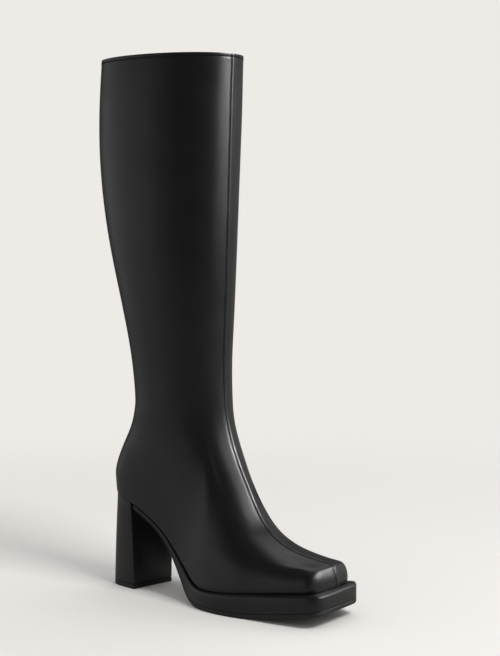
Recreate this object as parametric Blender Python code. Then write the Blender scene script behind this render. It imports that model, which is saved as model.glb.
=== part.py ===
"""Knee-high boot for the right foot, with a square toe, a platform sole and a block heel.

Metres, +Z up. The toe points along +X and the inner side of the foot along +Y.
The boot stands empty on its heel and forefoot, with its origin under the middle of its box.
"""

import math

import bmesh
import bpy
import numpy as np

# Lengths along the foot
LAST_LENGTH = 0.2460
SEAT_LENGTH = 0.0335
# Widths across the foot
BALL_WIDTH = 0.0865
SEAT_WIDTH = 0.0560
TOE_WIDTH = 0.0604
# Heights above the floor
SEAT_HEIGHT = 0.0885
PLATFORM_HEIGHT = 0.0183
TOE_EDGE_RISE = 0.0112
ANKLE_HEIGHT = 0.1810
BOOT_HEIGHT = 0.4875
COLLAR_DIP = 0.0012
# Shaft, front to back and side to side
ANKLE_DEPTH = 0.0975
ANKLE_WIDTH = 0.0745
CALF_DEPTH = 0.1463
CALF_WIDTH = 0.1045
# Upper's wall and its centre-front seam
WALL = 0.0020
SEAM_RIDGE = 0.0005
SEAM_GROOVE = 0.0005
SEAM_WIDTH = 0.0012
SEAM_SPREAD = 0.0045
# Sole and heel
TOE_CORNER = 0.0095
SOLE_CORNER = 0.0020
TOE_TURN = 0.085
PLATFORM_LIP = 0.0026
TOE_LIP = 0.0058
LIP_ROUND = 0.0034
OUTSOLE_THICKNESS = 0.0042
SHANK_THICKNESS = 0.0048
OUTSOLE_BEVEL = 0.0014
TOE_SPRING = 0.0100
INSOLE_THICKNESS = 0.0020
INSOLE_MARGIN = 0.0015
HEEL_TURN = 0.07
HEEL_FOOT_LENGTH = 0.0378
HEEL_FOOT_WIDTH = 0.0480
HEEL_BACK_WIDTH = 0.0400
HEEL_INSET = 0.0006
HEEL_HOLLOW = 0.10
LIFT_THICKNESS = 0.0043
# Gap left between pieces that touch
CLEARANCE = 0.0004

# Fineness of the faces
SIDE_COLUMNS = 32
SOLE_COLUMNS = 38
HEEL_COLUMNS = 13
HEEL_LEVELS = 7
RING_STEP = 0.0165
DENSE = 400
# How much closer the columns lie round the toe's corner, and over what distance
CORNER_EXTRA = 2.0
CORNER_SPREAD = 0.0120
# Edges sharper than this many degrees stay crisp
CREASE_ANGLE = 35
TINY = 1e-9

# Colour and roughness of each finish
LEATHER_FINISH = (0.016, 0.015, 0.015), 0.38
RUBBER_FINISH = (0.012, 0.012, 0.012), 0.60
LINING_FINISH = (0.030, 0.028, 0.027), 0.70

# Powers of the rounded ends and sections: 2 is an ellipse, and more is squarer
SEAT_ROUND = 2.3
CORNER_ROUND = 2.6
SECTION_ROUND = 2.05
HEEL_FOOT_ROUND = 4.0
# Depth of the flat face behind the toe's wall, as a share of the corner's radius with the lip
TOE_WALL_SHARE = 0.45
# How quickly the collar's dip grows towards the rim, and the seat's shift fades towards the front
DIP_POWER = 4
SHIFT_FADE = 6
# Angles of the platform's rounded edge, and the largest share of a thickness that it or a bevel may take
LIP_ANGLES = (0, 25, 55, 90)
LIP_LIMIT = 0.45
BEVEL_LIMIT = 0.40

# Feather line, where upper and sole meet: share of the last's length, and share of the drop from seat to ball
FEATHER_RISE = (
    (0.000, 1.000),
    (0.070, 0.968),
    (0.140, 0.892),
    (0.190, 0.815),
    (0.242, 0.712),
    (0.290, 0.588),
    (0.340, 0.420),
    (0.394, 0.228),
    (0.437, 0.096),
    (0.477, 0.022),
    (0.520, 0.000),
    (0.570, 0.000),
)
# Rise of the feather line in front of the ball: share of the length, and share of the toe's rise
FEATHER_TOE = (
    (0.570, 0.00),
    (0.640, 0.12),
    (0.720, 0.29),
    (0.800, 0.46),
    (0.880, 0.67),
    (0.940, 0.83),
    (1.000, 1.00),
)
# Plan of the feather line: share of the length, outer and inner side as shares of the ball's width.
# The seat's width is measured at the third row and the toe's at the last
SEAT_ROW = 2
PLAN = (
    (0.000, 0.318, 0.312),
    (0.070, 0.322, 0.314),
    (0.140, 0.330, 0.316),
    (0.220, 0.334, 0.300),
    (0.300, 0.330, 0.284),
    (0.380, 0.348, 0.282),
    (0.445, 0.398, 0.306),
    (0.500, 0.462, 0.346),
    (0.560, 0.512, 0.398),
    (0.628, 0.532, 0.444),
    (0.710, 0.516, 0.468),
    (0.790, 0.470, 0.452),
    (0.870, 0.426, 0.408),
    (0.940, 0.386, 0.336),
    (1.000, 0.350, 0.283),
)
# Dome of the foot across its width: share of the length, side and top squareness
DOME = (
    (0.000, 2.2, 2.0),
    (0.560, 2.2, 2.0),
    (0.650, 2.4, 2.0),
    (0.740, 2.8, 2.1),
    (0.830, 3.3, 2.4),
    (1.000, 4.0, 3.0),
)
# Rings of the foot, from the feather line up to the ankle.
# front: share of the length; rise: share of the way from feather to ankle; back: shift behind the seat and
# rise above it, shares of the ankle's rise over the seat; outer, inner: half widths as shares of the ankle's;
# tube: how much the ring is a plain tube section and not the foot's dome; widest: where it is widest
FOOT_RINGS = (
    ("front", "rise", "back", "climb", "outer", "inner", "tube", "widest"),
    (1.0000, 0.0000, 0.000, 0.000, 0.780, 0.760, 0.00, 0.42),
    (0.9998, 0.0200, -0.016, 0.045, 0.785, 0.765, 0.00, 0.42),
    (0.9972, 0.0610, -0.030, 0.090, 0.795, 0.780, 0.00, 0.42),
    (0.9895, 0.1000, -0.039, 0.130, 0.805, 0.790, 0.00, 0.42),
    (0.9750, 0.1250, -0.045, 0.165, 0.810, 0.800, 0.00, 0.42),
    (0.9180, 0.1450, -0.045, 0.198, 0.820, 0.810, 0.00, 0.42),
    (0.8520, 0.1720, -0.039, 0.236, 0.830, 0.825, 0.02, 0.42),
    (0.7900, 0.2010, -0.027, 0.280, 0.840, 0.845, 0.06, 0.42),
    (0.7340, 0.2465, -0.008, 0.334, 0.855, 0.870, 0.14, 0.42),
    (0.6900, 0.3020, 0.018, 0.394, 0.870, 0.895, 0.26, 0.42),
    (0.6520, 0.3830, 0.053, 0.464, 0.890, 0.920, 0.42, 0.42),
    (0.6150, 0.4880, 0.097, 0.545, 0.915, 0.950, 0.60, 0.43),
    (0.5800, 0.5920, 0.148, 0.640, 0.940, 0.975, 0.78, 0.50),
    (0.5460, 0.6930, 0.197, 0.745, 0.970, 0.980, 0.92, 0.51),
    (0.5170, 0.8060, 0.237, 0.860, 0.990, 0.970, 1.00, 0.46),
)
# Place of the ankle's front, as a share of the length
ANKLE_FRONT = 0.493
# Rings of the shaft, from the ankle to the collar. The ankle's front stands over the share given above.
# height: share of the way from ankle to collar; front: forward of the ankle's front, as a share of the
# calf's depth; depth and width: share of the way from the ankle's to the calf's
SHAFT_RINGS = (
    ("height", "front", "depth", "width"),
    (0.000, 0.000, 0.000, 0.000),
    (0.075, -0.006, 0.031, 0.055),
    (0.195, 0.004, 0.205, 0.225),
    (0.360, 0.020, 0.527, 0.490),
    (0.525, 0.034, 0.804, 0.735),
    (0.690, 0.047, 0.964, 0.912),
    (0.825, 0.057, 1.000, 1.000),
    (0.935, 0.065, 0.985, 0.985),
    (1.000, 0.070, 0.960, 0.950),
)
# Underside of the sole: share of the length, and height as a share of the feather line's there
UNDERSIDE = (
    (0.130, 0.942),
    (0.200, 0.925),
    (0.255, 0.905),
    (0.300, 0.860),
    (0.336, 0.780),
    (0.364, 0.670),
    (0.386, 0.550),
    (0.404, 0.420),
    (0.421, 0.290),
    (0.443, 0.150),
    (0.475, 0.045),
    (0.515, 0.000),
)
# Stretches along the foot, each as two shares of the length: the toe spring, the reach of the seat's and of
# the toe's own width, and the toe's turn
SPRING_SPAN = (0.70, 1.00)
SEAT_SPAN = (0.00, 0.40)
TOE_SPAN = (0.75, 1.00)
TURN_SPAN = (0.72, 1.00)
# Stretches where the platform's lip grows at the waist and at the toe, and where the outsole grows thicker
LIP_SPAN = (0.30, 0.54)
TOE_LIP_SPAN = (0.66, 0.96)
OUTSOLE_SPAN = (0.24, 0.40)
# How the toe spring rises, and the outsole's share of the shank's thickness
SPRING_POWER = 1.4
SHANK_OUTSOLE_SHARE = 0.42


def spline(knots, values, at):
    """Natural cubic curve through the values at the knots."""
    knots = np.asarray(knots, float)
    values = np.asarray(values, float)
    steps = np.diff(knots)
    slopes = np.diff(values) / steps
    size = len(knots)
    matrix = np.eye(size)
    load = np.zeros(size)
    for i in range(1, size - 1):
        matrix[i, i - 1 : i + 2] = steps[i - 1], 2 * (steps[i - 1] + steps[i]), steps[i]
        load[i] = 6 * (slopes[i] - slopes[i - 1])
    bend = np.linalg.solve(matrix, load)
    at = np.clip(np.asarray(at, float), knots[0], knots[-1])
    i = np.clip(np.searchsorted(knots, at) - 1, 0, size - 2)
    step = steps[i]
    left = (knots[i + 1] - at) / step
    right = 1 - left
    cubic = (left**3 - left) * bend[i] + (right**3 - right) * bend[i + 1]
    return left * values[i] + right * values[i + 1] + cubic * step**2 / 6


def column(table, index):
    """One column of a table of rows."""
    return np.array([row[index] for row in table])


def share(x):
    """Place along the last, from 0 at the seat's back to 1 at the toe."""
    return np.asarray(x, float) / LAST_LENGTH


def ramp(along, span):
    """Straight rise from 0 at the span's start to 1 at its end."""
    start, end = span
    return np.clip((along - start) / (end - start), 0, 1)


def ease(along, span):
    """Smooth step from 0 at the span's start to 1 at its end."""
    step = ramp(along, span)
    return step * step * (3 - 2 * step)


def feather(x):
    """Height of the feather line over a place along the foot."""
    along = share(x)
    drop = spline(column(FEATHER_RISE, 0), column(FEATHER_RISE, 1), along)
    toe = spline(column(FEATHER_TOE, 0), column(FEATHER_TOE, 1), along)
    return PLATFORM_HEIGHT + (SEAT_HEIGHT - PLATFORM_HEIGHT) * drop + TOE_EDGE_RISE * toe


def half_width(x, side, corner):
    """Half width of the feather line's plan on the outer (1) or inner (2) side, for a toe corner's radius."""
    along = share(x)
    both = column(PLAN, 1) + column(PLAN, 2)
    plain = BALL_WIDTH * spline(column(PLAN, 0), column(PLAN, side), along)
    seat_fit = SEAT_WIDTH / (BALL_WIDTH * both[SEAT_ROW]) - 1
    toe_fit = TOE_WIDTH / (BALL_WIDTH * both[-1]) - 1
    plan = plain * (1 + seat_fit * (1 - ramp(along, SEAT_SPAN)) + toe_fit * ramp(along, TOE_SPAN))
    back = np.clip(1 - x / (SEAT_WIDTH / 2), 0, 1)
    front = np.clip((x - LAST_LENGTH + corner) / corner, 0, 1)
    back_end = (1 - back**SEAT_ROUND) ** (1 / SEAT_ROUND)
    front_end = (1 - front**CORNER_ROUND) ** (1 / CORNER_ROUND)
    return plan * back_end * front_end


def turn_toe(points):
    """Points with the toe's end turned, so that its inner corner lies further back."""
    points = np.array(points, float)
    start, end = TURN_SPAN
    reach = np.clip((share(points[:, 0]) - start) / (end - start), 0, None) ** 2
    points[:, 0] -= TOE_TURN * points[:, 1] * reach
    return points


def ring_rows():
    """Every ring of the upper: front x and z, back x and z, half widths, tube share and widest place."""
    rows = []
    climb = ANKLE_HEIGHT - SEAT_HEIGHT
    for front, rise, back, lift, outer, inner, tube, widest in FOOT_RINGS[1:]:
        front_x = LAST_LENGTH * front
        ground = feather(front_x)
        front_z = ground + rise * (ANKLE_HEIGHT - ground)
        back_x = back * climb
        back_z = SEAT_HEIGHT + lift * climb
        widths = outer * ANKLE_WIDTH / 2, inner * ANKLE_WIDTH / 2
        rows.append((front_x, front_z, back_x, back_z, *widths, tube, widest))
    for height, front, depth, width in SHAFT_RINGS[1:]:
        z = ANKLE_HEIGHT + height * (BOOT_HEIGHT - ANKLE_HEIGHT)
        front_x = ANKLE_FRONT * LAST_LENGTH + front * CALF_DEPTH
        back_x = front_x - (ANKLE_DEPTH + depth * (CALF_DEPTH - ANKLE_DEPTH))
        half = (ANKLE_WIDTH + width * (CALF_WIDTH - ANKLE_WIDTH)) / 2
        rows.append((front_x, z, back_x, z - COLLAR_DIP * height**DIP_POWER, half, half, 1.0, 0.5))
    return np.array(rows)


def fine_rings():
    """Rows of ring_rows, with smooth rings added between them no more than about RING_STEP apart."""
    rows = ring_rows()
    moves = np.maximum(
        np.hypot(np.diff(rows[:, 0]), np.diff(rows[:, 1])),
        np.hypot(np.diff(rows[:, 2]), np.diff(rows[:, 3])),
    )
    knots = np.concatenate([[0], np.cumsum(moves)])
    places = []
    for start, move in zip(knots[:-1], moves):
        count = max(1, round(move / RING_STEP))
        places.extend(start + move * np.arange(count) / count)
    places.append(knots[-1])
    dense = np.linspace(0, knots[-1], DENSE)
    rings = np.stack([spline(knots, rows[:, i], places) for i in range(rows.shape[1])], 1)
    ridge = np.stack([spline(knots, rows[:, i], dense) for i in (0, 1)], 1)
    return rings, ridge


def ring_points(ring, ridge, side):
    """Dense points of one side of a ring, from the back to the front."""
    front_x, front_z, back_x, back_z, outer, inner, tube, widest = ring
    # Places are closest at both ends, and closer at the front than at the back
    even = (1 - np.cos(math.pi * np.linspace(0, 1, DENSE))) / 2
    s = (even + 1 - (1 - even) ** 2) / 2
    x = back_x + (front_x - back_x) * s
    back_rise = back_z - feather(back_x)
    front_rise = front_z - feather(front_x)
    rise = back_rise + (front_rise - back_rise) * s
    level = back_z + (front_z - back_z) * s
    z = (1 - tube) * (feather(x) + rise) + tube * level
    # The foot's dome closes where the ring reaches the ridge
    order = np.argsort(ridge[:, 0])
    ridge_rise = np.interp(x, ridge[order, 0], ridge[order, 1] - feather(ridge[order, 0]))
    behind = np.clip(share(ridge[:, 0].min() - x), 0, None)
    near = np.clip(rise / np.maximum(ridge_rise + behind, TINY), 0, 1)
    side_power = spline(column(DOME, 0), column(DOME, 1), share(x))
    top_power = spline(column(DOME, 0), column(DOME, 2), share(x))
    plan = half_width(x - back_x * (1 - s) ** SHIFT_FADE, side, TOE_CORNER)
    dome = plan * (1 - near**top_power) ** (1 / side_power)
    # The leg's section is a closed round, widest at its own place
    half = outer if side == 1 else inner
    apart = np.where(s < widest, (widest - s) / widest, (s - widest) / (1 - widest))
    section = half * np.clip(1 - apart**SECTION_ROUND, 0, 1) ** (1 / SECTION_ROUND)
    y = (1 - tube) * dome + tube * section
    y[0] = 0
    y[-1] = 0
    return np.stack([x, y if side == 2 else -y, z], 1)


def spread(points, places):
    """Points at the given distances along a dense path."""
    steps = np.linalg.norm(np.diff(points, axis=0), axis=1)
    run = np.concatenate([[0], np.cumsum(steps)])
    return np.stack([np.interp(places, run, points[:, i]) for i in range(3)], 1), run[-1]


def side_places(length):
    """Distances of the columns from the back to the front, closer round the toe's corner and at the seam."""
    dense = np.linspace(0, length - SEAM_SPREAD, DENSE)
    past_corner = (length - dense - TOE_WIDTH / 2) / CORNER_SPREAD
    closeness = 1 + CORNER_EXTRA * np.exp(-(past_corner**2))
    run = np.cumsum(closeness)
    body = np.interp(np.linspace(run[0], run[-1], SIDE_COLUMNS - 1), run, dense)
    return np.concatenate([body, [length - SEAM_WIDTH, length]])


def upper_surface():
    """Outer face of the upper as rings of points, each once round from the back over the outer side."""
    rings, ridge = fine_rings()
    surface = []
    for ring in rings:
        sides = []
        for side in (1, 2):
            dense = ring_points(ring, ridge, side)
            length = spread(dense, [0])[1]
            sides.append(spread(dense, side_places(length))[0])
        outer, inner = sides
        surface.append(np.concatenate([outer, inner[-2:0:-1]]))
    return np.array(surface)


def make_material(name, finish):
    """Plain opaque finish from a colour and a roughness."""
    colour, roughness = finish
    material = bpy.data.materials.new(name)
    material.use_nodes = True
    shader = material.node_tree.nodes["Principled BSDF"]
    shader.inputs["Base Color"].default_value = (*colour, 1)
    shader.inputs["Roughness"].default_value = roughness
    shader.inputs["Metallic"].default_value = 0
    return material


def make_object(name, verts, faces, material):
    """Smooth-shaded mesh object with its toe turned and its faces turned outwards."""
    mesh = bpy.data.meshes.new(name)
    mesh.from_pydata(turn_toe(verts).tolist(), [], faces)
    work = bmesh.new()
    work.from_mesh(mesh)
    bmesh.ops.recalc_face_normals(work, faces=work.faces)
    work.to_mesh(mesh)
    work.free()
    mesh.materials.append(material)
    obj = bpy.data.objects.new(name, mesh)
    collection.objects.link(obj)
    mesh.shade_smooth()
    mesh.set_sharp_from_angle(angle=math.radians(CREASE_ANGLE))
    return obj


def grid_faces(rows, around):
    """Quads between closed rings of points."""
    faces = []
    for r in range(rows - 1):
        for c in range(around):
            d = (c + 1) % around
            faces.append((r * around + c, r * around + d, (r + 1) * around + d, (r + 1) * around + c))
    return faces


def surface_normals(surface):
    """Outward normals of a surface given as closed rings of points."""
    around = np.roll(surface, -1, axis=1) - np.roll(surface, 1, axis=1)
    up = np.gradient(surface, axis=0)
    normals = np.cross(around, up)
    return normals / np.linalg.norm(normals, axis=2, keepdims=True)


def make_upper(material):
    """Hollow upper, from the feather line to the collar, with its front seam as a step in the wall."""
    skin = upper_surface()
    normals = surface_normals(skin)
    inner = skin - WALL * normals
    # The lower edge stays on the feather line, and the collar's rim stays level
    inner[0, :, 2] = feather(inner[0, :, 0])
    inner[-1, :, 2] = skin[-1, :, 2]
    seam = SIDE_COLUMNS
    outer = skin.copy()
    outer[:, seam - 1] -= SEAM_GROOVE * normals[:, seam - 1]
    outer[:, seam + 1] += SEAM_RIDGE * normals[:, seam + 1]
    rows, around = skin.shape[:2]
    verts = np.concatenate([outer.reshape(-1, 3), inner.reshape(-1, 3)])
    faces = grid_faces(rows, around)
    offset = rows * around
    faces += [tuple(offset + v for v in reversed(face)) for face in grid_faces(rows, around)]
    for c in range(around):
        d = (c + 1) % around
        top = (rows - 1) * around
        faces.append((c, offset + c, offset + d, d))
        faces.append((top + c, top + d, offset + top + d, offset + top + c))
    return make_object("upper", verts, faces, material)


def plan_sides(inset, corner):
    """Plan of the feather line moved inwards, as dense outer and inner sides from the back to the front."""
    x = LAST_LENGTH * (1 - np.cos(math.pi * np.linspace(0, 1, DENSE))) / 2
    outer = np.column_stack([x, -half_width(x, 1, corner)])
    inner = np.column_stack([x, half_width(x, 2, corner)])
    loop = np.concatenate([outer, inner[-2:0:-1]])
    along = np.roll(loop, -1, axis=0) - np.roll(loop, 1, axis=0)
    along /= np.linalg.norm(along, axis=1, keepdims=True)
    outward = np.column_stack([along[:, 1], -along[:, 0]])
    depth = inset(loop[:, 0])
    loop = loop - outward * np.broadcast_to(depth, len(loop))[:, None]
    return loop[:DENSE], np.concatenate([loop[DENSE - 1 :], loop[:1]])[::-1]


def even_side(points, start_x):
    """Points of a side from start_x to the front, at even steps."""
    path = np.column_stack([points, np.zeros(len(points))])
    if start_x is not None:
        first = int(np.argmax(points[:, 0] > start_x))
        blend = (start_x - points[first - 1, 0]) / (points[first, 0] - points[first - 1, 0])
        start = path[first - 1] * (1 - blend) + path[first] * blend
        path = np.vstack([start, path[first:]])
    length = spread(path, [0])[1]
    return spread(path, np.linspace(0, 1, SOLE_COLUMNS) * length)[0][:, :2]


def make_slab(name, edges, material, corner, start_x=None):
    """Solid stacked from plan loops, each with its inset and its height over a place along the foot."""
    rings = []
    for inset, height in edges:
        outer, inner = (even_side(side, start_x) for side in plan_sides(inset, corner))
        # Without a start the sides meet at the back, and the loop has that point only once
        end = 0 if start_x is None else None
        loop = np.concatenate([outer, inner[-2:end:-1]])
        rings.append(np.column_stack([loop, height(loop[:, 0])]))
    around = len(rings[0])
    faces = grid_faces(len(rings), around)
    for level in (0, len(rings) - 1):
        faces += cross_faces(rings[level], level * around, start_x is not None)
    return make_object(name, np.concatenate(rings), faces, material)


def cross_faces(ring, base, open_back):
    """Faces from side to side over a loop, with one face behind the square toe."""
    around = len(ring)
    first = 0 if open_back else 1
    pairs = [(i, around - 1 + first - i) for i in range(first, SOLE_COLUMNS - 1)]
    wall_x = ring[:, 0].max() - (SOLE_CORNER + TOE_LIP) * TOE_WALL_SHARE
    pairs = [pair for pair in pairs if max(ring[pair[0], 0], ring[pair[1], 0]) < wall_x]
    faces = [] if open_back else [(base, base + 1, base + around - 1)]
    for (a, b), (c, d) in zip(pairs[:-1], pairs[1:]):
        faces.append((base + a, base + c, base + d, base + b))
    start, end = pairs[-1]
    faces.append(tuple(base + i for i in range(start, end + 1)))
    return faces


def underside(x):
    """Height of the sole's underside."""
    along = share(x)
    arch = np.clip(spline(column(UNDERSIDE, 0), column(UNDERSIDE, 1), along), 0, 1) * feather(x)
    arch = np.where(along > UNDERSIDE[-1][0], 0, np.minimum(arch, feather(x) - SHANK_THICKNESS))
    start, end = SPRING_SPAN
    spring = np.clip((along - start) / (end - start), 0, None) ** SPRING_POWER
    return np.maximum(arch, 0) + TOE_SPRING * spring


def outsole_top(x):
    """Height of the outsole's upper face, which runs thin under the arch."""
    thin = SHANK_THICKNESS * SHANK_OUTSOLE_SHARE
    return underside(x) + thin + (OUTSOLE_THICKNESS - thin) * ease(share(x), OUTSOLE_SPAN)


def platform_top(x):
    """Height of the face that carries upper and insole."""
    return feather(x) - CLEARANCE


def platform_base(x):
    """Height of the platform's lower face."""
    return outsole_top(x) + CLEARANCE


def lip(x):
    """How far the platform stands out beyond the upper."""
    sides = PLATFORM_LIP * ease(share(x), LIP_SPAN)
    toe = (TOE_LIP - PLATFORM_LIP) * ease(share(x), TOE_LIP_SPAN)
    return sides + toe


def make_platform(material, breast):
    """Wrapped platform under the forefoot and arch, with a rounded upper edge."""

    def rounding(x):
        return np.minimum(LIP_ROUND, LIP_LIMIT * (platform_top(x) - platform_base(x)))

    def edge(angle):
        inwards, down = 1 - math.cos(angle), 1 - math.sin(angle)
        return (
            lambda x: inwards * rounding(x) - lip(x),
            lambda x: platform_top(x) - down * rounding(x),
        )

    edges = [(lambda x: -lip(x), platform_base)] + [edge(math.radians(angle)) for angle in LIP_ANGLES]
    return make_slab("platform", edges, material, SOLE_CORNER, breast)


def make_outsole(material, breast):
    """Thin rubber outsole with a bevelled lower edge."""

    def bevel(x):
        return np.minimum(OUTSOLE_BEVEL, BEVEL_LIMIT * (outsole_top(x) - underside(x)))

    edges = [
        (lambda x: bevel(x) - lip(x), underside),
        (lambda x: -lip(x), lambda x: underside(x) + bevel(x)),
        (lambda x: -lip(x), outsole_top),
    ]
    return make_slab("outsole", edges, material, SOLE_CORNER, breast)


def make_insole(material):
    """Flat lining that lies in the upper on the platform and the heel."""

    def inset(x):
        return WALL + INSOLE_MARGIN

    edges = [
        (inset, lambda x: platform_top(x) + 2 * CLEARANCE),
        (inset, lambda x: platform_top(x) + 2 * CLEARANCE + INSOLE_THICKNESS),
    ]
    return make_slab("insole", edges, material, TOE_CORNER)


def heel_section(drop):
    """Plan of the heel, from the seat's at 0 to the foot's at 1, round from the outer front corner."""
    foot_back = SEAT_LENGTH - HEEL_FOOT_LENGTH
    sides = []
    for seat, sign in zip(plan_sides(lambda x: HEEL_INSET, TOE_CORNER), (-1, 1)):
        stop = int(np.argmax(seat[:, 0] - HEEL_TURN * seat[:, 1] > SEAT_LENGTH))
        path = np.column_stack([seat, np.zeros(len(seat))])[: stop + 1]
        length = spread(path, [0])[1]
        top = spread(path, np.linspace(0, 1, HEEL_COLUMNS) * length)[0][:, :2]
        angle = np.linspace(0, math.pi / 2, HEEL_COLUMNS)
        along = 1 - np.clip(np.cos(angle), 0, 1) ** (2 / HEEL_FOOT_ROUND)
        across = np.sin(angle) ** (2 / HEEL_FOOT_ROUND)
        half = (HEEL_BACK_WIDTH + (HEEL_FOOT_WIDTH - HEEL_BACK_WIDTH) * along) / 2
        y = sign * across * half
        foot = np.column_stack([foot_back + (HEEL_FOOT_LENGTH + HEEL_TURN * y) * along, y])
        sides.append((1 - drop) * top + drop * foot)
    outer, inner = sides
    return np.concatenate([outer[::-1], inner[1:]])


def make_heel(material):
    """Block heel wrapped in the upper's leather, with a slight hollow in its back and sides."""
    base = LIFT_THICKNESS + CLEARANCE
    rings = []
    for down in np.linspace(0, 1, HEEL_LEVELS):
        plan = heel_section(down + HEEL_HOLLOW * math.sin(math.pi * down))
        top = platform_top(plan[:, 0])
        rings.append(np.column_stack([plan, top + (base - top) * down]))
    around = len(rings[0])
    faces = grid_faces(len(rings), around)
    for i in range(HEEL_COLUMNS - 1):
        face = (i, i + 1, around - 2 - i, around - 1 - i)
        faces.append(face if i < HEEL_COLUMNS - 2 else (i, i + 1, around - 1 - i))
    foot = (len(rings) - 1) * around
    faces.append(tuple(range(foot, foot + around)))
    return make_object("heel", np.concatenate(rings), faces, material)


def make_top_lift(material):
    """Rubber lift under the heel."""
    plan = heel_section(1.0)
    around = len(plan)
    rings = [np.column_stack([plan, np.full(around, z)]) for z in (0.0, LIFT_THICKNESS)]
    faces = grid_faces(2, around) + [tuple(range(around)), tuple(range(around, 2 * around))]
    return make_object("top_lift", np.concatenate(rings), faces, material)


for old in list(bpy.data.objects):
    bpy.data.objects.remove(old)

collection = bpy.data.collections.new("knee_high_boot")
bpy.context.scene.collection.children.link(collection)

leather = make_material("black_leather", LEATHER_FINISH)
rubber = make_material("black_rubber", RUBBER_FINISH)
lining = make_material("black_lining", LINING_FINISH)

sole_back = SEAT_LENGTH + HEEL_TURN * HEEL_FOOT_WIDTH / 2 + CLEARANCE
parts = [
    make_upper(leather),
    make_insole(lining),
    make_platform(leather, sole_back),
    make_outsole(rubber, sole_back),
    make_heel(leather),
    make_top_lift(rubber),
]

# Each piece moves by the same amount, so that the origin lies under the middle of the whole
corners = np.array([v.co[:] for part in parts for v in part.data.vertices])
middle = (corners.min(axis=0) + corners.max(axis=0)) / 2
for part in parts:
    part.location = (-middle[0], -middle[1], 0)
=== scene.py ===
import math

import bmesh
import bpy
import numpy as np
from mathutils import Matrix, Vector, noise
from mathutils.bvhtree import BVHTree
from mathutils.kdtree import KDTree


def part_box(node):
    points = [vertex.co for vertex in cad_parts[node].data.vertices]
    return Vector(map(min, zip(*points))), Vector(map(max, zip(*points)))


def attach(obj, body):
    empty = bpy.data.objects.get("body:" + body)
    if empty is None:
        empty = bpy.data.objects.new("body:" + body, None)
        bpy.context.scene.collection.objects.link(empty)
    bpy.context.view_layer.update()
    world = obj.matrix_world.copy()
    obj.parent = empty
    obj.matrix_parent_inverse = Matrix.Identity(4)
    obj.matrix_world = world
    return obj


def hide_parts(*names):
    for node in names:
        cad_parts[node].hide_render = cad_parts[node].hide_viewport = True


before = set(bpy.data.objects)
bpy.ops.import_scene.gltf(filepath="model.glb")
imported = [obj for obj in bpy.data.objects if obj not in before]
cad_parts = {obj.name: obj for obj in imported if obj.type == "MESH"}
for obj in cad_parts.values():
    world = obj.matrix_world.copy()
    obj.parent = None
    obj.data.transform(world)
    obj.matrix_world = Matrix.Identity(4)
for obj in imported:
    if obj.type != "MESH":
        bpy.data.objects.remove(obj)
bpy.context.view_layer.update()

# Upper, outside: two panels of smooth black calf leather, closed by one seam down the front and one down the
# back, pulled over the last and folded over the lining at the collar. It is the frame's own upper as a fine
# smooth skin, with the seams, the fold, the feather edge's tuck and a soft crease worked into it.
LEATHER_THICKNESS = 0.0013
FOLD_THICKNESS = 0.0019
FOLD_DEPTH = 0.0085
MERGE = 0.000001
SHAFT_X = -0.06
LEVEL_NORMAL = 0.9
ON_CENTRE_LINE = 0.00002


def activate(piece):
    """Makes a piece the only selected one, and the active one."""
    bpy.ops.object.select_all(action="DESELECT")
    piece.select_set(True)
    bpy.context.view_layer.objects.active = piece


def new_piece(name, mesh):
    """Adds a mesh to the scene as a piece of that name."""
    mesh.name = name
    piece = bpy.data.objects.new(name, mesh)
    bpy.context.scene.collection.objects.link(piece)
    return piece


def steps_from(starts):
    """Number of edges from each vertex to the nearest start."""
    steps = {v: 0 for v in starts}
    front = list(steps)
    while front:
        reached = []
        for v in front:
            for edge in v.link_edges:
                other = edge.other_vert(v)
                if other not in steps:
                    steps[other] = steps[v] + 1
                    reached.append(other)
        front = reached
    return steps


def wall_skins():
    """The upper's wall as two open sheets of four-sided faces: its outer and its inner skin."""
    work = bmesh.new()
    work.from_mesh(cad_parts["upper"].data)
    bmesh.ops.remove_doubles(work, verts=work.verts, dist=MERGE)
    work.normal_update()
    top = max(v.co.z for v in work.verts)
    level = [f for f in work.faces if f.normal.z > LEVEL_NORMAL]
    rim = [f for f in level if f.calc_center_median().z > top - FOLD_DEPTH]
    rim_points = dict.fromkeys(v for f in rim for v in f.verts)
    outer_rim = [v for v in rim_points if v.normal.x * (v.co.x - SHAFT_X) + v.normal.y * v.co.y > 0]
    bmesh.ops.delete(work, geom=rim, context="FACES")
    rows = steps_from(outer_rim)
    ring_x = {}
    for v, row in rows.items():
        ring_x.setdefault(row, []).append(v.co.x)
    middle_x = {row: sum(places) / len(places) for row, places in ring_x.items()}
    back = [v for v, row in rows.items() if abs(v.co.y) < ON_CENTRE_LINE and v.co.x < middle_x[row]]
    columns = steps_from(back)
    # A triangle's long side, which crosses a row and a column, isn't part of the grid
    crossing = [
        e for e in work.edges
        if rows[e.verts[0]] != rows[e.verts[1]] and columns[e.verts[0]] != columns[e.verts[1]]
    ]
    bmesh.ops.dissolve_edges(work, edges=crossing, use_verts=False)
    half = (max(rows.values()) + 1) // 2
    skins = []
    for kept in (lambda v: rows[v] < half, lambda v: rows[v] >= half):
        points = [v for v in work.verts if kept(v)]
        number = {v: i for i, v in enumerate(points)}
        faces = [[number[v] for v in f.verts] for f in work.faces if all(v in number for v in f.verts)]
        sheet = bpy.data.meshes.new("skin")
        sheet.from_pydata([v.co[:] for v in points], [], faces)
        skins.append(sheet)
    work.free()
    return skins


def points_of(mesh):
    """A mesh's vertices as rows of x, y and z."""
    flat = np.empty(len(mesh.vertices) * 3)
    mesh.vertices.foreach_get("co", flat)
    return flat.reshape(-1, 3)


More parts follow.
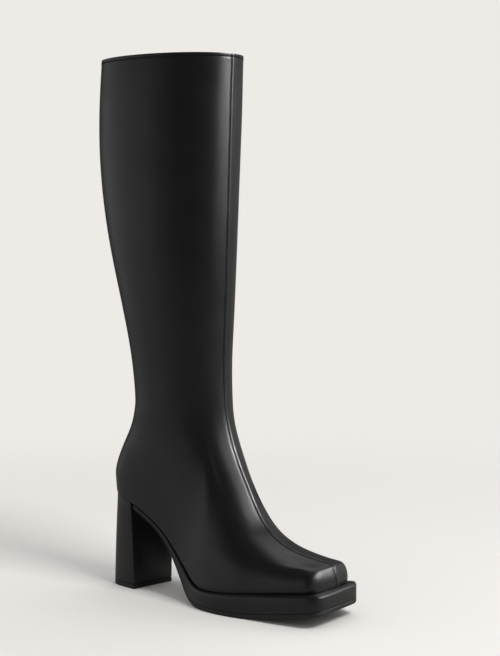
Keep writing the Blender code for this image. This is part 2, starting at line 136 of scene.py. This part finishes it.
def normals_of(mesh):
    """A mesh's vertex normals as rows of x, y and z."""
    flat = np.empty(len(mesh.vertices) * 3)
    mesh.vertex_normals.foreach_get("vector", flat)
    return flat.reshape(-1, 3)


def set_points(mesh, points):
    """Moves a mesh's vertices."""
    mesh.vertices.foreach_set("co", np.ascontiguousarray(points).ravel())
    mesh.update()


def apply_all(piece):
    """Applies a piece's modifiers in their order."""
    activate(piece)
    for modifier in list(piece.modifiers):
        bpy.ops.object.modifier_apply(modifier=modifier.name)


def smooth_through(piece, levels, rounds=4):
    """Subdivides a piece into a smooth surface that still runs through the piece's own points."""
    modifier = piece.modifiers.new("smooth", "SUBSURF")
    modifier.levels = modifier.render_levels = levels
    wanted = points_of(piece.data)
    cage = wanted.copy()
    for _ in range(rounds):
        reached = piece.evaluated_get(bpy.context.evaluated_depsgraph_get()).data
        cage += wanted - points_of(reached)[: len(wanted)]
        set_points(piece.data, cage)
    apply_all(piece)


def cut(piece, point, normal, chosen=None, clear=False):
    """Adds an edge loop where a plane crosses the chosen faces, and can clear what lies beyond it."""
    activate(piece)
    for polygon in piece.data.polygons:
        polygon.select = chosen is None or bool(chosen(polygon))
    bpy.ops.object.mode_set(mode="EDIT")
    bpy.ops.mesh.select_mode(type="FACE")
    bpy.ops.mesh.bisect(plane_co=point, plane_no=normal, clear_outer=clear)
    bpy.ops.object.mode_set(mode="OBJECT")


outer_skin, inner_skin = wall_skins()
upper = new_piece("upper_leather", outer_skin)
# The frame's coarse step at the front seam makes way for the finer one below
SEAM_STEP, SEAM_COLUMN = 0.0005, 0.0012
UPPER_LEVELS = 2
skin = points_of(upper.data)
forward = normals_of(upper.data) * (1, 0, 1)
forward /= np.linalg.norm(forward, axis=1, keepdims=True)
beside_seam = np.abs(np.abs(skin[:, 1]) - SEAM_COLUMN) < SEAM_STEP
skin -= (SEAM_STEP * np.sign(skin[:, 1]) * beside_seam)[:, None] * forward
set_points(upper.data, skin)
smooth_through(upper, UPPER_LEVELS)


def rim_distance(mesh):
    """Distance from each vertex to the nearest open rim."""
    work = bmesh.new()
    work.from_mesh(mesh)
    rim = [v.co.copy() for v in work.verts if v.is_boundary]
    work.free()
    tree = KDTree(len(rim))
    for index, place in enumerate(rim):
        tree.insert(place, index)
    tree.balance()
    return np.array([tree.find(v.co)[2] for v in mesh.vertices])


def even_out(mesh, share, rounds):
    """Smooths a mesh along its normals, as far as each vertex's share says."""
    ends = np.empty(len(mesh.edges) * 2, dtype=np.int32)
    mesh.edges.foreach_get("vertices", ends)
    first, second = ends.reshape(-1, 2).T
    count = np.bincount(ends, minlength=len(mesh.vertices))[:, None]
    for _ in range(rounds):
        points, normals = points_of(mesh), normals_of(mesh)
        total = np.zeros_like(points)
        np.add.at(total, first, points[second])
        np.add.at(total, second, points[first])
        rise = ((total / count - points) * normals).sum(axis=1) * share / 2
        set_points(mesh, points + normals * rise[:, None])


# The last's broad forms are evened out, and the rims and the toe's corners are left as they are
RIM_KEPT, TOE_KEPT, EVEN_ROUNDS = 0.012, (0.075, 0.100), 30
behind_toe = (TOE_KEPT[1] - points_of(upper.data)[:, 0]) / (TOE_KEPT[1] - TOE_KEPT[0])
share = np.clip(behind_toe, 0, 1) * np.clip(rim_distance(upper.data) / RIM_KEPT, 0, 1)
even_out(upper.data, share, EVEN_ROUNDS)

# The collar's rim is level across the shoe and a little lower at the back
COLLAR_DIP = 0.012
BACK_POINTS = 40
skin = points_of(upper.data)
collar_front = skin[np.argmax(skin[:, 2])]
rim_back = skin[skin[:, 2] > collar_front[2] - COLLAR_DIP]
rim_back = rim_back[np.argsort(rim_back[:, 0])[:BACK_POINTS]]
collar_back = rim_back[np.argmax(rim_back[:, 2])]
collar_slope = (collar_front[2] - collar_back[2]) / (collar_front[0] - collar_back[0])
COLLAR_NORMAL = Vector((-collar_slope, 0, 1)).normalized()


def below_collar(points):
    """Distance below the collar's rim."""
    return -(points - collar_front) @ np.array(COLLAR_NORMAL)


# Edge loops beside the collar's stitches and beside both seams, so that these have room for their shape
COLLAR_STITCH = 0.0029
COLLAR_CUTS = (0.0008, 0.0017, 0.0024, 0.0029, 0.0034, 0.0042, 0.0055)
NEAR_COLLAR = 0.02
for depth in COLLAR_CUTS:
    place = Vector(collar_front) - COLLAR_NORMAL * depth
    cut(upper, place, COLLAR_NORMAL, lambda face: face.center.z > collar_front[2] - NEAR_COLLAR)

FRONT_SEAM_CUTS = (-0.0026, -0.0016, 0.0016, 0.0026)
BACK_SEAM_CUTS = (-0.0016, -0.0007, 0.0007, 0.0016)
NEAR_SEAM = 0.005
FACING = 0.2


def by_front_seam(face):
    """Whether a face lies beside the front seam."""
    return abs(face.center.y) < NEAR_SEAM and face.normal.x + face.normal.z > FACING


def by_back_seam(face):
    """Whether a face lies beside the back seam."""
    return abs(face.center.y) < NEAR_SEAM and face.normal.x < -FACING


for seam_cuts, by_seam in ((FRONT_SEAM_CUTS, by_front_seam), (BACK_SEAM_CUTS, by_back_seam)):
    for side in seam_cuts:
        cut(upper, (0, side, 0), (0, 1, 0), by_seam)

# How far the leather faces the front and the back, from 0 to 1
TURN_RATE = 2.5
skin = points_of(upper.data)
normals = normals_of(upper.data)
facing_front = np.clip(normals[:, 0] * TURN_RATE + normals[:, 2] * TURN_RATE, 0, 1)
facing_back = np.clip(-normals[:, 0] * TURN_RATE, 0, 1)


def bump_at(value, centre, width):
    """Soft bell of height one round a centre."""
    return np.exp(-(((value - centre) / width) ** 2))


# The front seam: the inner side's panel lies folded over the outer's, with stitches along the groove
GROOVE_PLACE, GROOVE_WIDTH, GROOVE_DEPTH = -0.0009, 0.0006, 0.00052
FOLD_PLACE, FOLD_WIDTH, FOLD_HEIGHT = 0.0016, 0.0013, 0.00032
STITCH_PLACE, STITCH_WIDTH, STITCH_PULL = -0.0013, 0.0006, 0.00008
move = -GROOVE_DEPTH * bump_at(skin[:, 1], GROOVE_PLACE, GROOVE_WIDTH) * facing_front
move += FOLD_HEIGHT * bump_at(skin[:, 1], FOLD_PLACE, FOLD_WIDTH) * facing_front
move -= STITCH_PULL * bump_at(skin[:, 1], STITCH_PLACE, STITCH_WIDTH) * facing_front
# Down the instep the turned edges under the seam make the leather stand up in a soft ridge
RIDGE_HEIGHT, RIDGE_WIDTH, RIDGE_SPAN = 0.0009, 0.0075, (0.26, 0.17)
ridge_share = np.clip((RIDGE_SPAN[0] - skin[:, 2]) / (RIDGE_SPAN[0] - RIDGE_SPAN[1]), 0, 1)
move += RIDGE_HEIGHT * bump_at(skin[:, 1], 0, RIDGE_WIDTH) * facing_front * ridge_share
# The back seam is a plain closed one
BACK_GROOVE_WIDTH, BACK_GROOVE_DEPTH = 0.0006, 0.00045
move -= BACK_GROOVE_DEPTH * bump_at(skin[:, 1], 0, BACK_GROOVE_WIDTH) * facing_back
# The collar's fold stands a little proud of the stitches that hold it
ROLL_PLACE, ROLL_WIDTH, ROLL_HEIGHT = 0.0012, 0.0012, 0.00008
COLLAR_PULL_WIDTH, COLLAR_PULL = 0.0006, 0.00018
under_rim = below_collar(skin)
move += ROLL_HEIGHT * bump_at(under_rim, ROLL_PLACE, ROLL_WIDTH)
move -= COLLAR_PULL * bump_at(under_rim, COLLAR_STITCH, COLLAR_PULL_WIDTH)
# The leather turns under at the feather edge
TUCK_RISE, TUCK_DEPTH = 0.0016, 0.0006
nearest = rim_distance(upper.data)
move -= TUCK_DEPTH * bump_at(nearest, 0, TUCK_RISE) * (under_rim > FOLD_DEPTH)

# A soft crease from the ankle's back down its outer side: a ridge with a shallow trough on each side of it,
# which rises fast at its start and dies out slowly
CREASE_PATH = (
    (-0.085, -0.022, 0.172),
    (-0.080, -0.028, 0.167),
    (-0.074, -0.031, 0.160),
    (-0.064, -0.033, 0.147),
    (-0.055, -0.033, 0.136),
)
CREASE_WIDTH, CREASE_HEIGHT = 0.0035, 0.0010
TROUGH_WIDTH, TROUGH_SHARE = 2.6 * CREASE_WIDTH, 0.6
FADE_IN, FADE_OUT = 4, 1.6


def distance_to_path(points, path):
    """Distance from points to a broken line, and how far along it they are, from 0 to 1."""
    best = np.full(len(points), np.inf)
    along = np.zeros(len(points))
    count = len(path) - 1
    for i in range(count):
        a, b = np.array(path[i]), np.array(path[i + 1])
        t = np.clip((points - a) @ (b - a) / ((b - a) @ (b - a)), 0, 1)
        gap = np.linalg.norm(points - (a + t[:, None] * (b - a)), axis=1)
        nearer = gap < best
        best = np.where(nearer, gap, best)
        along = np.where(nearer, (i + t) / count, along)
    return best, along


gap, along = distance_to_path(skin, CREASE_PATH)
fade = np.clip(FADE_IN * along, 0, 1) * np.clip(FADE_OUT * (1 - along), 0, 1)
profile = bump_at(gap, 0, CREASE_WIDTH) - TROUGH_SHARE * bump_at(gap, 0, TROUGH_WIDTH)
move += CREASE_HEIGHT * fade * profile

# Leather is never quite even: long shallow waves, each with its scale and height, that end before the rims
WAVES = ((16, 0.00016), (48, 0.00004))
WAVES_FADE = 0.02
for scale, height in WAVES:
    wave = np.array([noise.noise(Vector(p) * scale) for p in skin])
    move += height * wave * np.clip(nearest / WAVES_FADE, 0, 1)

set_points(upper.data, skin + normals * move[:, None])

# The wall gets its thickness inwards, full at the fold and thinner below, where the lining makes up the rest
EDGE_ROUND, EDGE_SEGMENTS, EDGE_ANGLE = 0.00045, 3, math.radians(60)
SMOOTH_ANGLE = math.radians(50)
fold = upper.vertex_groups.new(name="fold")
under_rim = below_collar(points_of(upper.data))
for index, depth in enumerate(under_rim):
    if depth < FOLD_DEPTH:
        fold.add([index], 1.0, "REPLACE")
wall = upper.modifiers.new("wall", "SOLIDIFY")
wall.thickness = FOLD_THICKNESS
wall.offset = -1
wall.vertex_group = "fold"
wall.thickness_vertex_group = LEATHER_THICKNESS / FOLD_THICKNESS
edge = upper.modifiers.new("edge", "BEVEL")
edge.width = EDGE_ROUND
edge.segments = EDGE_SEGMENTS
edge.limit_method = "ANGLE"
edge.angle_limit = EDGE_ANGLE
apply_all(upper)
bpy.ops.object.shade_smooth_by_angle(angle=SMOOTH_ANGLE)


def node(tree, kind, **values):
    """Adds a shader node and sets its inputs and properties by name."""
    made = tree.nodes.new(kind)
    for name, value in values.items():
        label = name.replace("_", " ")
        if label in made.inputs:
            made.inputs[label].default_value = value
        else:
            setattr(made, name, value)
    return made


def new_material(name):
    """A material with its node tree, its shader and a place on the piece for its patterns."""
    material = bpy.data.materials.new(name)
    material.use_nodes = True
    tree = material.node_tree
    place = node(tree, "ShaderNodeTexCoord").outputs["Object"]
    return material, tree, tree.nodes["Principled BSDF"], place


PATTERN_SPAN = (0.3, 0.7)
DYE_RANGE = (0.8, 1.25)
GLOSS_RANGE = 0.045
PORE_SCALE, PORE_SHARE = 2.3, 0.45


def leather_material(name, colour, roughness, grain, relief):
    """Smooth finished leather: fine grain, small pores, and a gloss that varies a little."""
    material, tree, shader, place = new_material(name)
    shader.inputs["Specular IOR Level"].default_value = 0.5
    link = tree.links.new
    # Colour: a faint uneven dye
    dye = node(tree, "ShaderNodeTexNoise", Scale=38.0, Detail=4.0, Roughness=0.6)
    link(place, dye.inputs["Vector"])
    tones = node(tree, "ShaderNodeValToRGB")
    tones.color_ramp.elements[0].position = PATTERN_SPAN[0]
    tones.color_ramp.elements[0].color = (*[c * DYE_RANGE[0] for c in colour], 1)
    tones.color_ramp.elements[1].position = PATTERN_SPAN[1]
    tones.color_ramp.elements[1].color = (*[c * DYE_RANGE[1] for c in colour], 1)
    link(dye.outputs["Fac"], tones.inputs["Fac"])
    link(tones.outputs["Color"], shader.inputs["Base Color"])
    # Gloss: broad soft patches with finer ones over them
    patches = node(tree, "ShaderNodeTexNoise", Scale=24.0, Detail=5.0, Roughness=0.55)
    link(place, patches.inputs["Vector"])
    gloss = node(tree, "ShaderNodeMapRange")
    gloss.inputs["From Min"].default_value = PATTERN_SPAN[0]
    gloss.inputs["From Max"].default_value = PATTERN_SPAN[1]
    gloss.inputs["To Min"].default_value = roughness - GLOSS_RANGE
    gloss.inputs["To Max"].default_value = roughness + GLOSS_RANGE
    link(patches.outputs["Fac"], gloss.inputs["Value"])
    link(gloss.outputs["Result"], shader.inputs["Roughness"])
    # Relief: cells of grain, with pores between them
    cells = node(tree, "ShaderNodeTexVoronoi", Scale=grain, feature="SMOOTH_F1")
    link(place, cells.inputs["Vector"])
    pores = node(tree, "ShaderNodeTexNoise", Scale=grain * PORE_SCALE, Detail=3.0, Roughness=0.6)
    link(place, pores.inputs["Vector"])
    both = node(tree, "ShaderNodeMix", data_type="FLOAT")
    both.inputs["Factor"].default_value = PORE_SHARE
    link(cells.outputs["Distance"], both.inputs["A"])
    link(pores.outputs["Fac"], both.inputs["B"])
    bump = node(tree, "ShaderNodeBump", Strength=0.5, Distance=relief)
    link(both.outputs["Result"], bump.inputs["Height"])
    link(bump.outputs["Normal"], shader.inputs["Normal"])
    return material


LEATHER_BLACK = (0.0065, 0.0063, 0.0062)
black_leather = leather_material(
    "smooth_black_leather", LEATHER_BLACK, roughness=0.37, grain=950.0, relief=0.00006
)


def finish_piece(piece, material, slot, *nodes):
    """Gives a piece its material and its body, and hides the frame nodes that it stands for. The slot is not
    used.
    """
    piece.data.materials.clear()
    piece.data.materials.append(material)
    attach(piece, "root")
    if nodes:
        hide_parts(*nodes)


finish_piece(upper, black_leather, "leather", "upper")

# Upper, inside: a thin black lining of matt leather, glued to the inside of the upper from the feather edge
# to the collar, where its edge is caught under the leather's fold.
LINING_THICKNESS = 0.0005
LINING_CAUGHT = 0.001
LINING_LEVELS = 1
lining = new_piece("shaft_lining", inner_skin)
smooth_through(lining, LINING_LEVELS)
lining_top = Vector(collar_front) - COLLAR_NORMAL * (FOLD_DEPTH - LINING_CAUGHT)
cut(lining, lining_top, COLLAR_NORMAL, clear=True)
wall = lining.modifiers.new("wall", "SOLIDIFY")
wall.thickness = LINING_THICKNESS
wall.offset = -1
apply_all(lining)
bpy.ops.object.shade_smooth_by_angle(angle=SMOOTH_ANGLE)
LINING_BLACK = (0.016, 0.0155, 0.015)
black_lining = leather_material("black_lining", LINING_BLACK, roughness=0.62, grain=1300.0, relief=0.00005)
finish_piece(lining, black_lining, "sock")

# Topstitches: bonded black thread. One row runs along the front seam's groove, and one holds the collar's
# fold down. Each stitch comes up through the leather, lies on it and goes down again.
STITCH_PITCH = 0.0018
STITCH_LENGTH = 0.0011
THREAD_RADIUS = 0.00040
STITCH_SIDES = 6
STITCH_ANGLE = math.radians(60)
# Rings of a stitch: the place in its length, and its width and its rise in thread radii
STITCH_RINGS = (
    (-0.5, 0.35, -1.3),
    (-0.32, 0.95, 0.1),
    (0.0, 1.0, 0.45),
    (0.32, 0.95, 0.1),
    (0.5, 0.35, -1.3),
)


def stitch_row(name, stops):
    """Joined mesh of stitches, each at a place with the surface's normal and the row's direction."""
    verts, faces = [], []
    for place, normal, along in stops:
        across = normal.cross(along).normalized()
        first = len(verts)
        for part, width, rise in STITCH_RINGS:
            middle = place + along * (part * STITCH_LENGTH) + normal * (rise * THREAD_RADIUS)
            for k in range(STITCH_SIDES):
                angle = 2 * math.pi * k / STITCH_SIDES
                spoke = across * math.cos(angle) + normal * math.sin(angle)
                verts.append(middle + spoke * (width * THREAD_RADIUS))
        rings = len(STITCH_RINGS)
        for r in range(rings - 1):
            for k in range(STITCH_SIDES):
                n = (k + 1) % STITCH_SIDES
                a, b = first + r * STITCH_SIDES, first + (r + 1) * STITCH_SIDES
                faces.append((a + k, a + n, b + n, b + k))
        faces.append(tuple(first + k for k in reversed(range(STITCH_SIDES))))
        faces.append(tuple(first + (rings - 1) * STITCH_SIDES + k for k in range(STITCH_SIDES)))
    mesh = bpy.data.meshes.new(name)
    mesh.from_pydata([v[:] for v in verts], [], faces)
    piece = new_piece(name, mesh)
    activate(piece)
    bpy.ops.object.mode_set(mode="EDIT")
    bpy.ops.mesh.select_all(action="SELECT")
    bpy.ops.mesh.normals_make_consistent(inside=False)
    bpy.ops.object.mode_set(mode="OBJECT")
    bpy.ops.object.shade_smooth_by_angle(angle=STITCH_ANGLE)
    return piece


def evenly(path, pitch):
    """Places at even steps along a dense path, each with the path's direction there."""
    path = np.array(path)
    steps = np.linalg.norm(np.diff(path, axis=0), axis=1)
    run = np.concatenate([[0], np.cumsum(steps)])
    marks = np.arange(pitch / 2, run[-1], pitch)
    places = np.stack([np.interp(marks, run, path[:, i]) for i in range(3)], 1)
    ahead = np.stack([np.interp(marks + pitch / 4, run, path[:, i]) for i in range(3)], 1)
    behind = np.stack([np.interp(marks - pitch / 4, run, path[:, i]) for i in range(3)], 1)
    return [(Vector(p), Vector(a - b).normalized()) for p, a, b in zip(places, ahead, behind)]


surface = BVHTree.FromObject(upper, bpy.context.evaluated_depsgraph_get())


def on_surface(stops):
    """Moves places onto the leather's outer face and adds its normal there."""
    seated = []
    for place, along in stops:
        spot, normal, _, _ = surface.find_nearest(place)
        seated.append((spot, normal, (along - normal * along.dot(normal)).normalized()))
    return seated


# The front row's path is found by looking at the shoe from far in front, down to the instep, and then from
# above, as far as the toe
SEAM_LOOKS = 700
LOOK_DISTANCE = 1.0
ROW_START = COLLAR_STITCH * 1.6
INSTEP_Z = 0.060
TOE_LEFT = 0.006
toe_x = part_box("upper")[1][0] - TOE_LEFT
front_path = []
start_z = collar_front[2] - ROW_START
for k in range(SEAM_LOOKS):
    z = start_z - (start_z - INSTEP_Z) * k / (SEAM_LOOKS - 1)
    hit = surface.ray_cast(Vector((LOOK_DISTANCE, STITCH_PLACE, z)), Vector((-1, 0, 0)))[0]
    if hit:
        front_path.append(hit[:])
last_x = front_path[-1][0]
for k in range(1, SEAM_LOOKS):
    x = last_x + (toe_x - last_x) * k / (SEAM_LOOKS - 1)
    hit = surface.ray_cast(Vector((x, STITCH_PLACE, LOOK_DISTANCE)), Vector((0, 0, -1)))[0]
    if hit:
        front_path.append(hit[:])
front_row = stitch_row("front_stitches", on_surface(evenly(front_path, STITCH_PITCH)))

# The collar row's path is found by looking at the collar from all round
COLLAR_REACH = 0.07
collar_path = []
middle = Vector(((collar_front[0] + collar_back[0]) / 2, 0, 0))
for k in range(SEAM_LOOKS + 1):
    turn = 2 * math.pi * k / SEAM_LOOKS
    outward = Vector((math.cos(turn), math.sin(turn), 0))
    behind_front = collar_front[0] - middle.x - COLLAR_REACH * outward.x
    height = collar_front[2] - COLLAR_STITCH - behind_front * collar_slope
    start = middle + outward * LOOK_DISTANCE + Vector((0, 0, height))
    hit = surface.ray_cast(start, -outward)[0]
    if hit:
        collar_path.append(hit[:])
collar_row = stitch_row("collar_stitches", on_surface(evenly(collar_path, STITCH_PITCH)))


def thread_material(name, colour):
    """Waxed thread, twisted from fine strands."""
    material, tree, shader, place = new_material(name)
    shader.inputs["Roughness"].default_value = 0.8
    shader.inputs["Specular IOR Level"].default_value = 0.2
    shader.inputs["Base Color"].default_value = (*colour, 1)
    strands = node(tree, "ShaderNodeTexWave", Scale=2600.0, Distortion=2.0)
    tree.links.new(place, strands.inputs["Vector"])
    bump = node(tree, "ShaderNodeBump", Strength=0.5, Distance=0.00005)
    tree.links.new(strands.outputs["Fac"], bump.inputs["Height"])
    tree.links.new(bump.outputs["Normal"], shader.inputs["Normal"])
    return material


THREAD_BLACK = (0.006, 0.006, 0.006)
black_thread = thread_material("black_thread", THREAD_BLACK)
for row in (front_row, collar_row):
    finish_piece(row, black_thread, "leather")

# Sock: a thin insole covered in the lining's black leather. It lies in the shoe from heel to toe, on the
# platform and the heel.
SOCK_ROUND = 0.0006
CORNER_ANGLE = math.radians(40)


def edged_copy(name, node_name, rounding):
    """Copy of a frame node in four-sided faces, with each edge rounded by a small bevel."""
    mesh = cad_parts[node_name].data.copy()
    piece = new_piece(name, mesh)
    activate(piece)
    bpy.ops.object.mode_set(mode="EDIT")
    bpy.ops.mesh.select_all(action="SELECT")
    bpy.ops.mesh.remove_doubles(threshold=MERGE)
    bpy.ops.mesh.tris_convert_to_quads(
        face_threshold=CORNER_ANGLE, shape_threshold=math.pi, topology_influence=2.0
    )
    bpy.ops.object.mode_set(mode="OBJECT")
    edge = piece.modifiers.new("edge", "BEVEL")
    edge.width = rounding
    edge.segments = 2
    edge.limit_method = "ANGLE"
    edge.angle_limit = CORNER_ANGLE
    edge.use_clamp_overlap = True
    apply_all(piece)
    bpy.ops.object.shade_smooth_by_angle(angle=CORNER_ANGLE)
    return piece


sock = edged_copy("sock", "insole", SOCK_ROUND)
finish_piece(sock, black_lining, "sock", "insole")

# Platform: a light core under the forefoot, running thin under the arch to the heel. It is wrapped in the
# upper's leather, which is turned over its edges and glued.
PLATFORM_ROUND = 0.0005
platform = edged_copy("platform_wrap", "platform", PLATFORM_ROUND)
finish_piece(platform, black_leather, "leather", "platform")

# Heel: a moulded block, a little flared, wrapped in one piece of the upper's leather and screwed to the shoe
# from inside, so that no fixing shows.
HEEL_ROUND = 0.0005
heel = edged_copy("heel_wrap", "heel", HEEL_ROUND)
finish_piece(heel, black_leather, "leather", "heel")

# Outsole and top lift: matt black rubber, cut flat with a bevelled edge. The outsole is glued under the
# platform, and the top lift is glued under the heel.
RUBBER_ROUND = 0.0004
RUBBER_BLACK = (0.010, 0.010, 0.010)
SPECKLE_RANGE = (0.75, 1.3)
RUBBER_ROUGHNESS = (0.50, 0.66)


def rubber_material(name, colour):
    """Matt rubber with a fine moulded texture."""
    material, tree, shader, place = new_material(name)
    speckle = node(tree, "ShaderNodeTexNoise", Scale=420.0, Detail=4.0, Roughness=0.65)
    tree.links.new(place, speckle.inputs["Vector"])
    tones = node(tree, "ShaderNodeValToRGB")
    tones.color_ramp.elements[0].color = (*[c * SPECKLE_RANGE[0] for c in colour], 1)
    tones.color_ramp.elements[1].color = (*[c * SPECKLE_RANGE[1] for c in colour], 1)
    tree.links.new(speckle.outputs["Fac"], tones.inputs["Fac"])
    tree.links.new(tones.outputs["Color"], shader.inputs["Base Color"])
    shade = node(tree, "ShaderNodeMapRange")
    shade.inputs["To Min"].default_value = RUBBER_ROUGHNESS[0]
    shade.inputs["To Max"].default_value = RUBBER_ROUGHNESS[1]
    tree.links.new(speckle.outputs["Fac"], shade.inputs["Value"])
    tree.links.new(shade.outputs["Result"], shader.inputs["Roughness"])
    bump = node(tree, "ShaderNodeBump", Strength=0.4, Distance=0.0001)
    tree.links.new(speckle.outputs["Fac"], bump.inputs["Height"])
    tree.links.new(bump.outputs["Normal"], shader.inputs["Normal"])
    return material


black_rubber = rubber_material("black_rubber", RUBBER_BLACK)
for name, node_name in (("outsole_rubber", "outsole"), ("top_lift_rubber", "top_lift")):
    finish_piece(edged_copy(name, node_name, RUBBER_ROUND), black_rubber, "rubber", node_name)

# Studio: a plain warm pale floor that fades into a backdrop of the same colour, and soft light from panels.
# The floor glows a little, less in the shoe's contact shadow, so that it is as pale as the backdrop.
PALE = (0.855, 0.828, 0.798)
FLOOR_CORNERS = 96
FLOOR_RADIUS = 1.15
FLOOR_FADE = 0.35
FLOOR_IN_GLOSS = 0.35
FLOOR_GLOW = 0.42
bpy.ops.object.select_all(action="DESELECT")
bpy.ops.mesh.primitive_circle_add(vertices=FLOOR_CORNERS, radius=FLOOR_RADIUS, fill_type="NGON")
floor = bpy.context.object
floor.name = "studio_floor"
floor_material, tree, shader, place = new_material("studio_floor")
shader.inputs["Base Color"].default_value = (*PALE, 1)
shader.inputs["Roughness"].default_value = 0.9
shader.inputs["Emission Color"].default_value = (*PALE, 1)
shade = node(tree, "ShaderNodeAmbientOcclusion", Distance=0.3, samples=8)
glow = node(tree, "ShaderNodeMath", operation="MULTIPLY")
glow.inputs[1].default_value = FLOOR_GLOW
tree.links.new(shade.outputs["AO"], glow.inputs[0])
tree.links.new(glow.outputs["Value"], shader.inputs["Emission Strength"])
clear = node(tree, "ShaderNodeBsdfTransparent")
reach = node(tree, "ShaderNodeVectorMath", operation="LENGTH")
tree.links.new(place, reach.inputs[0])
fade = node(tree, "ShaderNodeMapRange", interpolation_type="SMOOTHSTEP")
fade.inputs["From Min"].default_value = FLOOR_FADE
fade.inputs["From Max"].default_value = FLOOR_RADIUS
tree.links.new(reach.outputs["Value"], fade.inputs["Value"])
rays = node(tree, "ShaderNodeLightPath")
in_gloss = node(tree, "ShaderNodeMath", operation="MULTIPLY")
in_gloss.inputs[1].default_value = 1 - FLOOR_IN_GLOSS
tree.links.new(rays.outputs["Is Glossy Ray"], in_gloss.inputs[0])
thinned = node(tree, "ShaderNodeMath", operation="MAXIMUM")
tree.links.new(in_gloss.outputs["Value"], thinned.inputs[0])
tree.links.new(fade.outputs["Result"], thinned.inputs[1])
blend = node(tree, "ShaderNodeMixShader")
tree.links.new(thinned.outputs["Value"], blend.inputs["Fac"])
tree.links.new(shader.outputs["BSDF"], blend.inputs[1])
tree.links.new(clear.outputs["BSDF"], blend.inputs[2])
tree.links.new(blend.outputs["Shader"], tree.nodes["Material Output"].inputs["Surface"])
floor.data.materials.append(floor_material)

# A low black card on the shoe's inner side, which the camera doesn't see, keeps light off the heel's breast
CARD_SIZE = (0.10, 0.095, 1)
CARD_PLACE = (-0.02, 0.050, 0.058)
CARD_BLACK = (0.004, 0.004, 0.004)
bpy.ops.object.select_all(action="DESELECT")
bpy.ops.mesh.primitive_plane_add(size=1)
card = bpy.context.object
card.name = "black_card"
bpy.ops.transform.resize(value=CARD_SIZE)
bpy.ops.transform.rotate(value=math.pi / 2, orient_axis="X", center_override=(0, 0, 0))
bpy.ops.transform.translate(value=CARD_PLACE)
card_material, _, shader, _ = new_material("black_card")
shader.inputs["Base Color"].default_value = (*CARD_BLACK, 1)
shader.inputs["Roughness"].default_value = 1.0
card.data.materials.append(card_material)
card.visible_camera = False
card.visible_diffuse = False

# The camera sees a pale backdrop, and everything else sees a dim one
BACKDROP_DIM = 0.085
world = bpy.data.worlds.new("studio")
bpy.context.scene.world = world
world.use_nodes = True
tree = world.node_tree
backdrop = tree.nodes["Background"]
backdrop.inputs["Color"].default_value = (*PALE, 1)
dim = node(tree, "ShaderNodeBackground")
dim.inputs["Color"].default_value = (BACKDROP_DIM, BACKDROP_DIM, BACKDROP_DIM, 1)
rays = node(tree, "ShaderNodeLightPath")
blend = node(tree, "ShaderNodeMixShader")
tree.links.new(rays.outputs["Is Camera Ray"], blend.inputs["Fac"])
tree.links.new(dim.outputs["Background"], blend.inputs[1])
tree.links.new(backdrop.outputs["Background"], blend.inputs[2])
tree.links.new(blend.outputs["Shader"], tree.nodes["World Output"].inputs["Surface"])

# The camera stands in front of the shoe's outer side, a little above the middle, as in the photo
VIEW_AZIMUTH = math.radians(39.5)
VIEW_PITCH = math.radians(86.01)
CAMERA_PLACE = (0.9380, -1.0982, 0.3460)
FOCAL_LENGTH = 88.9
SENSOR_WIDTH = 36.0
camera_data = bpy.data.cameras.new("camera")
camera_data.lens = FOCAL_LENGTH
camera_data.sensor_width = SENSOR_WIDTH
camera = bpy.data.objects.new("camera", camera_data)
bpy.context.scene.collection.objects.link(camera)
camera.location = CAMERA_PLACE
camera.rotation_euler = (VIEW_PITCH, 0, VIEW_AZIMUTH)
bpy.context.scene.camera = camera

# The lights' columns: name, bearing from the camera towards the right, height, distance, width, tall,
# radiance, the x and z that it's aimed at, its beam's angle, whether it lights matt surfaces, and whether it
# shows in the gloss
LIGHTS = (
    ("key", 41, 2.1, 1.65, 0.80, 0.80, 19.0, (0, 0.22), 180, True, False),
    ("left_softbox", -98, 0.38, 1.5, 2.3, 0.85, 0.51, (0, 0.22), 180, True, True),
    ("left_edge", -52, 0.38, 1.5, 0.70, 0.85, 0.20, (0, 0.22), 180, False, True),
    ("shaft_strip", 86, 0.76, 1.1, 0.34, 0.30, 1.6, (0, 0.46), 32, False, True),
    ("instep_strip", 94, 0.86, 1.6, 0.14, 0.75, 2.2, (0, 0.11), 20, False, True),
    ("toe_light", 82, 0.42, 0.79, 0.15, 0.15, 0.42, (0.12, 0.05), 16, False, True),
    ("right_fill", 135, 0.35, 1.7, 1.6, 0.9, 0.20, (0, 0.22), 180, True, True),
    ("top", 160, 1.5, 1.2, 1.6, 1.2, 0.8, (0, 0.22), 180, True, True),
    ("overhead", 105, 1.8, 0.75, 0.7, 0.6, 0.7, (0, 0.22), 180, False, True),
)
for name, bearing, height, distance, width, tall, radiance, aimed_at, beam, matt, gloss in LIGHTS:
    turn = VIEW_AZIMUTH + math.radians(bearing)
    data = bpy.data.lights.new(name, "AREA")
    data.shape = "RECTANGLE"
    data.size = width
    data.size_y = tall
    data.spread = math.radians(beam)
    data.energy = radiance * math.pi * width * tall
    light = bpy.data.objects.new(name, data)
    bpy.context.scene.collection.objects.link(light)
    light.location = (math.sin(turn) * distance, -math.cos(turn) * distance, height)
    aim = Vector((aimed_at[0], 0, aimed_at[1])) - light.location
    light.rotation_euler = aim.to_track_quat("-Z", "Y").to_euler()
    light.visible_camera = False
    light.visible_diffuse = matt
    light.visible_glossy = gloss

bpy.context.scene.view_settings.view_transform = "Standard"
